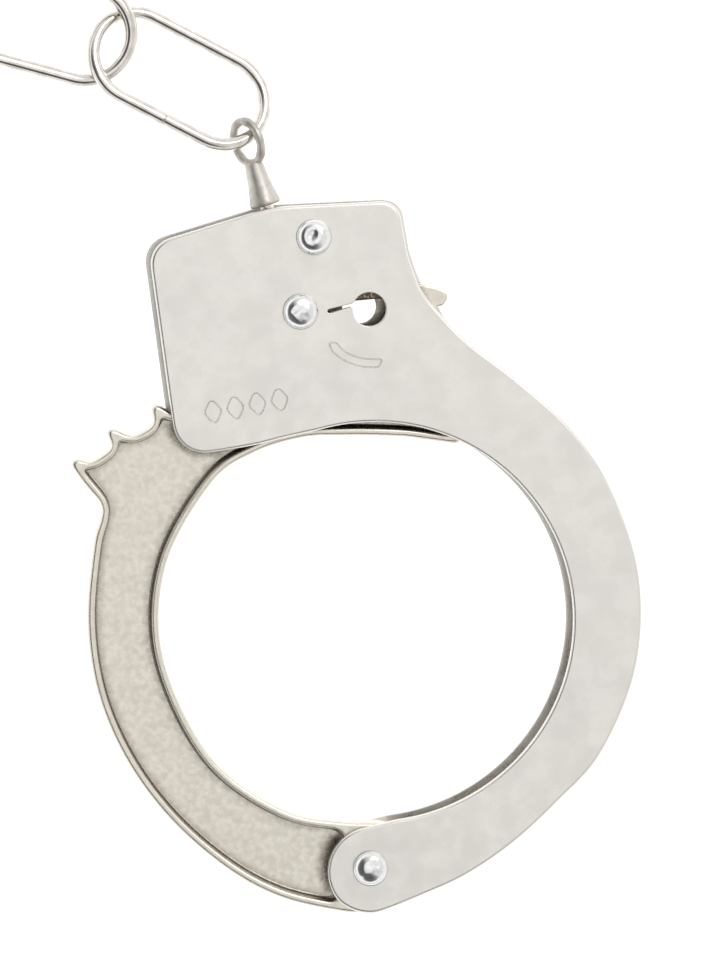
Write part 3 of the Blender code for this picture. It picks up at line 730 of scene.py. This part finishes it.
def arm(letter):
    form = Form()
    low, high = ARM
    outline = turned_left(relaxed(even(arm_outline(), FINE_STEP), 8))
    bottom, top = form.sweep(outline, edge_profile(low, high, 0.25, ARM_ROLL, 8), (3, 3))
    bore_bottom, bore_top = form.sweep(
        turned_left(hole((0, 0), BUSH_RADIUS + CLEARANCE))[::-1], edge_profile(low, high, 0.1, 0.15)
    )
    pocket = relaxed(pocket_outline(), 24)[::-1]
    floor = low + ARM_FLOOR
    profile = [(POCKET_ROLL + HOLD, high)]      # inset, height and painted shade, from the rim to the floor
    # the rounding's lower part and the wall's foot carry painted shade, fading onto the floor
    for i in range(9):
        a = math.radians(90 * i / 8)
        inset, fall = POCKET_ROLL * (1 - math.sin(a)), POCKET_ROLL * (1 - math.cos(a))
        profile.append((inset, high - fall, max(0.0, (i - 5) / 3)))
    for i in range(7):
        a = math.radians(90 * i / 6)
        outset, rise = POCKET_FOOT * (1 - math.cos(a)), POCKET_FOOT * (1 - math.sin(a))
        profile.append((-outset, floor + rise, 1.0 - 0.1 * i))
    profile.append((-POCKET_FOOT - HOLD, floor, 0.3))
    pocket_top, pocket_floor = form.sweep(pocket, profile, (2, 7))
    form.cap([bottom, bore_bottom])
    form.cap([top, bore_top, pocket_top])
    form.cap([pocket_floor], floor_dots(form, pocket, floor))
    return mesh_object("cuff_arm_" + letter, form.points, form.faces, cuff_frame(letter), 35, form.painted_shade)


def pawl(letter):
    bar = KEYHOLE + Vector((0, PAWL_BAR_RISE))
    tip = polar((0, 0), TIP_RADIUS + NOSE_LIFT, NOSE_ANGLE)
    tab = KEYHOLE + RELEASE_TAB
    lower = [
        Vector((PAWL_PIVOT.x + PAWL_EYE_RADIUS + 0.6, bar.y - 0.6)),
        bar + Vector((1.8, 0)), bar + Vector((3.0, -1.2)), bar + Vector((4.2, -3.6)),
        tip + Vector((-2.0, 2.2)), tip + Vector((-0.4, 0)), tip + Vector((0.4, 0)),
        tip + Vector((0.6, 2.2)), tab + Vector((-1.7, -2.6)),
        tab + Vector((-1.7, -1.4)), tab + Vector((-0.6, -1.2)), tab + Vector((-0.1, -0.5)),
        tab + Vector((0, 0.3)), tab + Vector((-0.8, 1.0)), tab + Vector((-3.8, 1.7)),
    ]
    upper = [bar + Vector((5.0, PAWL_BAR_DEPTH)), Vector((PAWL_PIVOT.x + 4.5, bar.y + 2.2))]
    outline = arc(PAWL_PIVOT, PAWL_EYE_RADIUS, 55, 330, 40) + lower + upper
    outline = turned_left(relaxed(even(outline, FINE_STEP), 4))
    form = Form()
    low, high = PAWL
    bottom, top = form.sweep(outline, edge_profile(low, high, 0.15, 0.22))
    bore = turned_left(hole(PAWL_PIVOT, BUSH_RADIUS + CLEARANCE))[::-1]
    bore_bottom, bore_top = form.sweep(bore, edge_profile(low, high, 0.1, 0.15))
    form.cap([bottom, bore_bottom])
    form.cap([top, bore_top])
    # painted shade over the pawl where it lies between the plates, fading out towards the release tab
    reach = tab.x - 3.0
    painted_shade = {i: min(1.0, max(0.0, (reach - p.x) / 2.0)) for i, p in enumerate(form.points)}
    return mesh_object("latch_" + letter, form.points, form.faces, cuff_frame(letter), 35, painted_shade)


def rivet(name, centre, seed, letter):
    """A turned shank and back head, under a domed front head with hammered dents."""
    low, high = RIVET
    base = FRONT_PLATE[1] + CLEARANCE
    picks = random.Random(seed)
    dents = []
    for _ in range(6):
        heading, far = picks.uniform(0, 2 * math.pi), picks.uniform(0.2, 0.8) * HEAD_RADIUS
        place = (far * math.cos(heading), far * math.sin(heading))
        dents.append((place, picks.uniform(0.35, 0.7), picks.uniform(0.04, 0.11)))
    height = high - base - HEAD_SHORT
    radius = HEAD_RADIUS

    def dome(x, y):
        far = min(1.0, math.hypot(x, y) / radius)
        z = height * (1 - far ** 2.6) ** 0.7
        for (u, v), size, depth in dents:
            z -= depth * math.exp(-((x - u) ** 2 + (y - v) ** 2) / size ** 2) * (1 - far ** 4)
        z += 0.03 * noise.noise(Vector((x, y, seed)) * 1.6) * (1 - far ** 2)
        return base + HEAD_EDGE + (height - HEAD_EDGE) / height * max(0.0, min(height, z))

    form = Form()
    segments, rings = 64, 22
    points = form.points
    previous = None
    for k in range(1, rings + 1):
        r = radius * math.sin(math.radians(90 * k / rings))
        loop = hole((0, 0), r, segments)
        start = len(points)
        wobble = 1.0 + 0.02 * (k / rings) ** 4
        points += [Vector((p.x * wobble, p.y * wobble, dome(p.x, p.y))) for p in loop]
        ring = range(start, start + segments)
        if previous is None:
            points.append(Vector((0, 0, dome(0, 0))))
            top = start + segments
            form.faces += [(ring[i], ring[(i + 1) % segments], top) for i in range(segments)]
        else:
            form.wall(previous, ring)
        previous = ring
    profile = [
        (radius * 1.02, base + 0.05), (radius, base), (SHANK_RADIUS, base),
        (SHANK_RADIUS, BACK_HEAD_TOP), (radius - 0.05, BACK_HEAD_TOP), (radius, BACK_HEAD_TOP - 0.06),
        (radius, 0.3), (radius - 0.1, 0.1), (radius - 0.3, 0.0),
    ]
    for r, z in profile:
        ring = form.ring(hole((0, 0), r, segments), z)
        form.wall(previous, ring)
        previous = ring
    form.cap([previous])
    place = cuff_frame(letter) @ Matrix.Translation((centre[0], centre[1], 0))
    return mesh_object(name, form.points, form.faces, place, 40)


def stem_turn():
    """Turns +Z to point out of the lock along the stem, with the eye spun about it."""
    out = Vector((-STEM_DIRECTION.x, -STEM_DIRECTION.y, 0))
    right = Vector((STEM_SIDE.x, STEM_SIDE.y, 0)) * (1 if STEM_SIDE.x > 0 else -1)
    spun = right * math.cos(math.radians(EYE_SPIN)) + Vector((0, 0, math.sin(math.radians(EYE_SPIN))))
    return Matrix((spun, out.cross(spun), out)).transposed().to_4x4()


def tube(form, path, radii, sides, upright):
    """A closed tube along a closed, flat path of points; upright is the path's normal."""
    count = len(path)
    rings = []
    for i in range(count):
        along = (path[(i + 1) % count] - path[i - 1]).normalized()
        side = along.cross(upright).normalized()
        top = side.cross(along)
        start = len(form.points)
        for k in range(sides):
            a = 2 * math.pi * k / sides
            form.points.append(
                path[i] + side * (radii[i] * math.cos(a)) + top * (radii[i] * math.sin(a))
            )
        rings.append(range(start, start + sides))
    for a, b in zip(rings, rings[1:] + rings[:1]):
        form.wall(a, b)


CAST_VOXEL = 0.10                 # the step of the skin that joins the eye to its cone
EYE_SIDES = 20
EYE_STEPS = 72


def swivel(letter):
    """The cast eye and cone in one skin, and the stem that turns in the lock."""
    entry = Matrix.Translation((STEM_ENTRY.x, STEM_ENTRY.y, MIDDLE))
    place = cuff_frame(letter) @ entry @ stem_turn()
    join = EYE_DISTANCE - EYE_HALF_HEIGHT
    casting = Form()
    casting.lathe(
        [
            (CONE_TOP_RADIUS * 0.7, join + 0.35), (CONE_TOP_RADIUS, join),
            (CONE_TOP_RADIUS + 0.08, join - 0.7), (1.62, 3.4), (1.95, 1.6), (CONE_BASE_RADIUS, 0.75),
            (CONE_BASE_RADIUS - 0.08, 0.45), (1.85, 0.4),
        ],
        48,
    )
    path, thick = [], []
    for i in range(EYE_STEPS):
        angle = 2 * math.pi * i / EYE_STEPS
        rise = EYE_HALF_HEIGHT * math.sin(angle)
        path.append(Vector((EYE_HALF_WIDTH * math.cos(angle), 0, EYE_DISTANCE + rise)))
        thick.append(EYE_SECTION * (1.0 + 0.06 * math.sin(7 * i / EYE_STEPS * 2 * math.pi)))
    tube(casting, path, thick, EYE_SIDES, Vector((0, 1, 0)))
    cast = mesh_object("swivel_casting_" + letter, casting.points, casting.faces, Matrix.Scale(MM, 4))
    fused(cast, CAST_VOXEL)
    cast.data.transform(place @ Matrix.Scale(1 / MM, 4))
    head = COLLAR_RADIUS - 0.3
    stem = Form()
    stem.lathe(
        [
            (STEM_RADIUS - 0.05, 0.9), (STEM_RADIUS, 0.85), (STEM_RADIUS, -STEM_HEAD),
            (head - 0.1, -STEM_HEAD), (head, -STEM_HEAD - 0.1), (head, -STEM_HEAD - 0.5),
            (head - 0.1, -STEM_HEAD - 0.6),
        ],
        32,
    )
    return cast, mesh_object("swivel_stem_" + letter, stem.points, stem.faces, place)


def fused(thing, size):
    """Remeshes overlapping forms into one skin and eases the seams between them."""
    view = bpy.context.view_layer
    remesh = thing.modifiers.new("fuse", "REMESH")
    remesh.mode = "VOXEL"
    remesh.voxel_size = size * MM
    remesh.use_smooth_shade = True
    ease = thing.modifiers.new("ease", "SMOOTH")
    ease.factor = 0.5
    ease.iterations = 6
    view.update()
    evaluated = thing.evaluated_get(bpy.context.evaluated_depsgraph_get())
    mesh = bpy.data.meshes.new_from_object(evaluated)
    thing.modifiers.clear()
    old = thing.data
    thing.data = mesh
    bpy.data.meshes.remove(old)
    mesh.name = thing.name
    mesh.shade_smooth()


def chain_link(name, seam):
    """A loop of round wire with a butt seam; seam is how far it is from the lower straight's middle."""
    centre, turn = LINK_PLACES[name]
    straight = 2 * LINK_HALF_STRAIGHT
    by_seam = [0.5 + (seam + k * 0.05) / straight for k in range(-9, 10)]
    path, radii = [], []
    for t in sorted(set([i / 24 for i in range(25)] + by_seam)):
        x = -LINK_HALF_STRAIGHT + straight * t
        away = abs(x - seam)
        gap = SEAM_DEPTH * math.exp(-((away / SEAM_REACH) ** 2))
        path.append(Vector((x, -LINK_BEND_RADIUS, 0)))
        radii.append(WIRE_RADIUS * (1 - gap + 0.015 * math.exp(-((away / 0.3) ** 2))))
    rest = arc((LINK_HALF_STRAIGHT, 0), LINK_BEND_RADIUS, -90, 90, 48)[1:]
    rest += [
        Vector((LINK_HALF_STRAIGHT - straight * i / 24, LINK_BEND_RADIUS)) for i in range(1, 25)
    ]
    rest += arc((-LINK_HALF_STRAIGHT, 0), LINK_BEND_RADIUS, 90, 270, 48)[1:-1]
    path += [point.to_3d() for point in rest]
    radii += [WIRE_RADIUS] * len(rest)
    form = Form()
    tube(form, path, radii, 24, Vector((0, 0, 1)))
    roll, pitch, yaw = (math.radians(angle) for angle in turn)
    turned = Matrix.Rotation(yaw, 4, "Z") @ Matrix.Rotation(pitch, 4, "Y") @ Matrix.Rotation(roll, 4, "X")
    place = Matrix.Scale(MM, 4) @ Matrix.Translation(centre) @ turned
    return mesh_object("chain_" + name, form.points, form.faces, place, 60)


RIVETS = (("arm", (0, 0)), ("pawl", PAWL_PIVOT), ("top", TOP_RIVET))

for letter in "ab":
    body = "frame_" + letter
    marks = mark_outlines()
    front = plate("front_sheet_" + letter, FRONT_PLATE, 0, 0, 0, (0.12, PLATE_ROLL), marks, letter)
    publish(front, PLATE_FINISH, body, "nickel_plate", "front_plate_" + letter)
    shifts = (BACK_SHIFT, BACK_EDGE_PROUD, BACK_KEYHOLE_SHIFT)
    back = plate("back_sheet_" + letter, BACK_PLATE, *shifts, (PLATE_ROLL, 0.12), [], letter)
    publish(back, PLATE_FINISH, body, "nickel_plate", "back_plate_" + letter)
    publish(arm(letter), ARM_FINISH, "arm_" + letter, "nickel_cast", "arm_" + letter)
    publish(pawl(letter), ARM_FINISH, "pawl_" + letter, "nickel_cast", "pawl_" + letter)
    for i, (kind, centre) in enumerate(RIVETS):
        head = rivet(kind + "_head_rivet_" + letter, centre, 3 + i * 7 + ord(letter), letter)
        publish(head, RIVET_FINISH, body, "bright_rivet", kind + "_rivet_" + letter)
    casting, stem = swivel(letter)
    publish(casting, SWIVEL_FINISH, "swivel_" + letter, "nickel_cast", "swivel_" + letter)
    publish(stem, WIRE_FINISH, "swivel_" + letter, "nickel_cast", "swivel_" + letter)

for name, seam in (("link_1", 0.27), ("link_2", 0.1), ("link_3", -0.2)):
    publish(chain_link(name, seam), WIRE_FINISH, name, "nickel_wire", name)

for letter in "ab":
    for node, finish in (
        ("pawl_spring", SPRING_FINISH), ("arm_bush", SWIVEL_FINISH), ("pawl_bush", SWIVEL_FINISH),
        ("swivel_block", SWIVEL_FINISH), ("swivel_collar", RIVET_FINISH),
    ):
        kept = frame["nodes"][node + "_" + letter]
        for slot in kept.material_slots:
            slot.material = finish


# ---- floor, light and camera --------------------------------------------------------------------
FLOOR_DROP = 0.03                 # millimetres, so that the rivets' back heads don't flicker in it
FLOOR_REACH = 2.5                 # metres
ROOM_ENDS = ((0.0, 0.3), (1.0, 1.1))      # the room's brightness at the horizon and overhead
ROOM_STEPS = ((0.06, 0.3), (0.16, 1.1), (0.42, 1.15), (0.56, 0.12), (0.90, 0.03), (0.955, 0.90))
DARK_SIDE = (-0.86, -0.5, 0)
CAMERA_AIM = Vector((-0.00156, 0.05425))  # metres from cuff A's pivot
CAMERA_TOWARDS = Vector((-0.0768, 0.1048, 0.9915)).normalized()
CAMERA_DISTANCE = 0.9
CAMERA_LENS = 244.5
CAMERA_LEAN = 0.0018              # radians about the line of sight


def floor():
    """A plain pale floor just under the back rivet heads."""
    material = bpy.data.materials.new("floor_finish")
    material.use_nodes = True
    shader = material.node_tree.nodes["Principled BSDF"]
    shader.inputs["Base Color"].default_value = (0.55, 0.55, 0.55, 1)
    shader.inputs["Roughness"].default_value = 0.9
    shader.inputs["Specular IOR Level"].default_value = 0.0
    shader.inputs["Emission Color"].default_value = (1, 1, 1, 1)
    shader.inputs["Emission Strength"].default_value = 0.9
    mesh = bpy.data.meshes.new("floor")
    corners = [(x * FLOOR_REACH, y * FLOOR_REACH) for x, y in ((-1, -1), (1, -1), (1, 1), (-1, 1))]
    mesh.from_pydata([(x, y, -FLOOR_DROP * MM) for x, y in corners], [], [(0, 1, 2, 3)])
    mesh.materials.append(material)
    made = bpy.data.objects.new("floor", mesh)
    bpy.context.scene.collection.objects.link(made)


def studio():
    """A pale room with a dark band half-way up its left and near sides, seen only in the metal."""
    world = bpy.data.worlds.new("studio")
    bpy.context.scene.world = world
    world.use_nodes = True
    tree = world.node_tree
    tree.nodes.clear()
    coordinates = tree.nodes.new("ShaderNodeTexCoord")
    split = tree.nodes.new("ShaderNodeSeparateXYZ")
    tree.links.new(coordinates.outputs["Generated"], split.inputs[0])
    facing = tree.nodes.new("ShaderNodeVectorMath")
    facing.operation = "DOT_PRODUCT"
    facing.inputs[1].default_value = DARK_SIDE
    tree.links.new(coordinates.outputs["Generated"], facing.inputs[0])
    side = tree.nodes.new("ShaderNodeMapRange")
    side.interpolation_type = "SMOOTHSTEP"
    side.inputs["From Min"].default_value = -0.35
    side.inputs["From Max"].default_value = 0.30
    side.inputs["To Min"].default_value = 0.15
    side.inputs["To Max"].default_value = 0.95
    tree.links.new(facing.outputs["Value"], side.inputs["Value"])
    height = tree.nodes.new("ShaderNodeValToRGB")
    ramp = height.color_ramp
    for element, (position, value) in zip(ramp.elements, ROOM_ENDS):
        element.position = position
        element.color = (value, value, value, 1)
    for position, value in ROOM_STEPS:
        added = ramp.elements.new(position)
        added.color = (value, value, value, 1)
    tree.links.new(split.outputs["Z"], height.inputs["Fac"])
    bright = tree.nodes.new("ShaderNodeMix")
    bright.data_type = "RGBA"
    bright.inputs[6].default_value = (0.97, 0.96, 0.95, 1)
    tree.links.new(side.outputs["Result"], bright.inputs["Factor"])
    tree.links.new(height.outputs["Color"], bright.inputs[7])
    background = tree.nodes.new("ShaderNodeBackground")
    tree.links.new(bright.outputs[2], background.inputs["Color"])
    background.inputs["Strength"].default_value = 1.06
    pale = tree.nodes.new("ShaderNodeBackground")
    pale.inputs["Color"].default_value = (0.95, 0.95, 0.95, 1)
    seen = tree.nodes.new("ShaderNodeLightPath")
    choose = tree.nodes.new("ShaderNodeMixShader")
    tree.links.new(seen.outputs["Is Camera Ray"], choose.inputs["Fac"])
    tree.links.new(background.outputs[0], choose.inputs[1])
    tree.links.new(pale.outputs[0], choose.inputs[2])
    output = tree.nodes.new("ShaderNodeOutputWorld")
    tree.links.new(choose.outputs[0], output.inputs["Surface"])


def softbox(name, place, aim, size, power):
    light = bpy.data.lights.new(name, "AREA")
    light.shape = "RECTANGLE"
    light.size, light.size_y = size
    light.energy = power
    lamp = bpy.data.objects.new(name, light)
    lamp.location = place
    lamp.rotation_euler = (Vector(aim) - Vector(place)).to_track_quat("-Z", "Y").to_euler()
    bpy.context.scene.collection.objects.link(lamp)


def camera():
    """Nearly straight down, from a little way up the chain and to the left of it."""
    pivot = cuff_frame("a").translation
    aim = Vector((pivot.x + CAMERA_AIM.x, pivot.y + CAMERA_AIM.y, FRONT_PLATE[1] * MM))
    data = bpy.data.cameras.new("camera")
    data.sensor_width = 36.0
    data.lens = CAMERA_LENS
    data.clip_start = 0.05
    data.clip_end = 20
    made = bpy.data.objects.new("camera", data)
    right = Vector((0, 1, 0)).cross(CAMERA_TOWARDS).normalized()
    up = CAMERA_TOWARDS.cross(right)
    cos, sin = math.cos(CAMERA_LEAN), math.sin(CAMERA_LEAN)
    turn = Matrix((right * cos + up * sin, up * cos - right * sin, CAMERA_TOWARDS)).transposed()
    made.matrix_world = Matrix.Translation(aim + CAMERA_TOWARDS * CAMERA_DISTANCE) @ turn.to_4x4()
    bpy.context.scene.collection.objects.link(made)
    bpy.context.scene.camera = made


floor()
studio()
softbox("key", (0.35, 0.45, 0.75), (0.04, -0.06, 0), (0.5, 0.5), 2.0)
camera()
bpy.context.scene.view_settings.view_transform = "Standard"
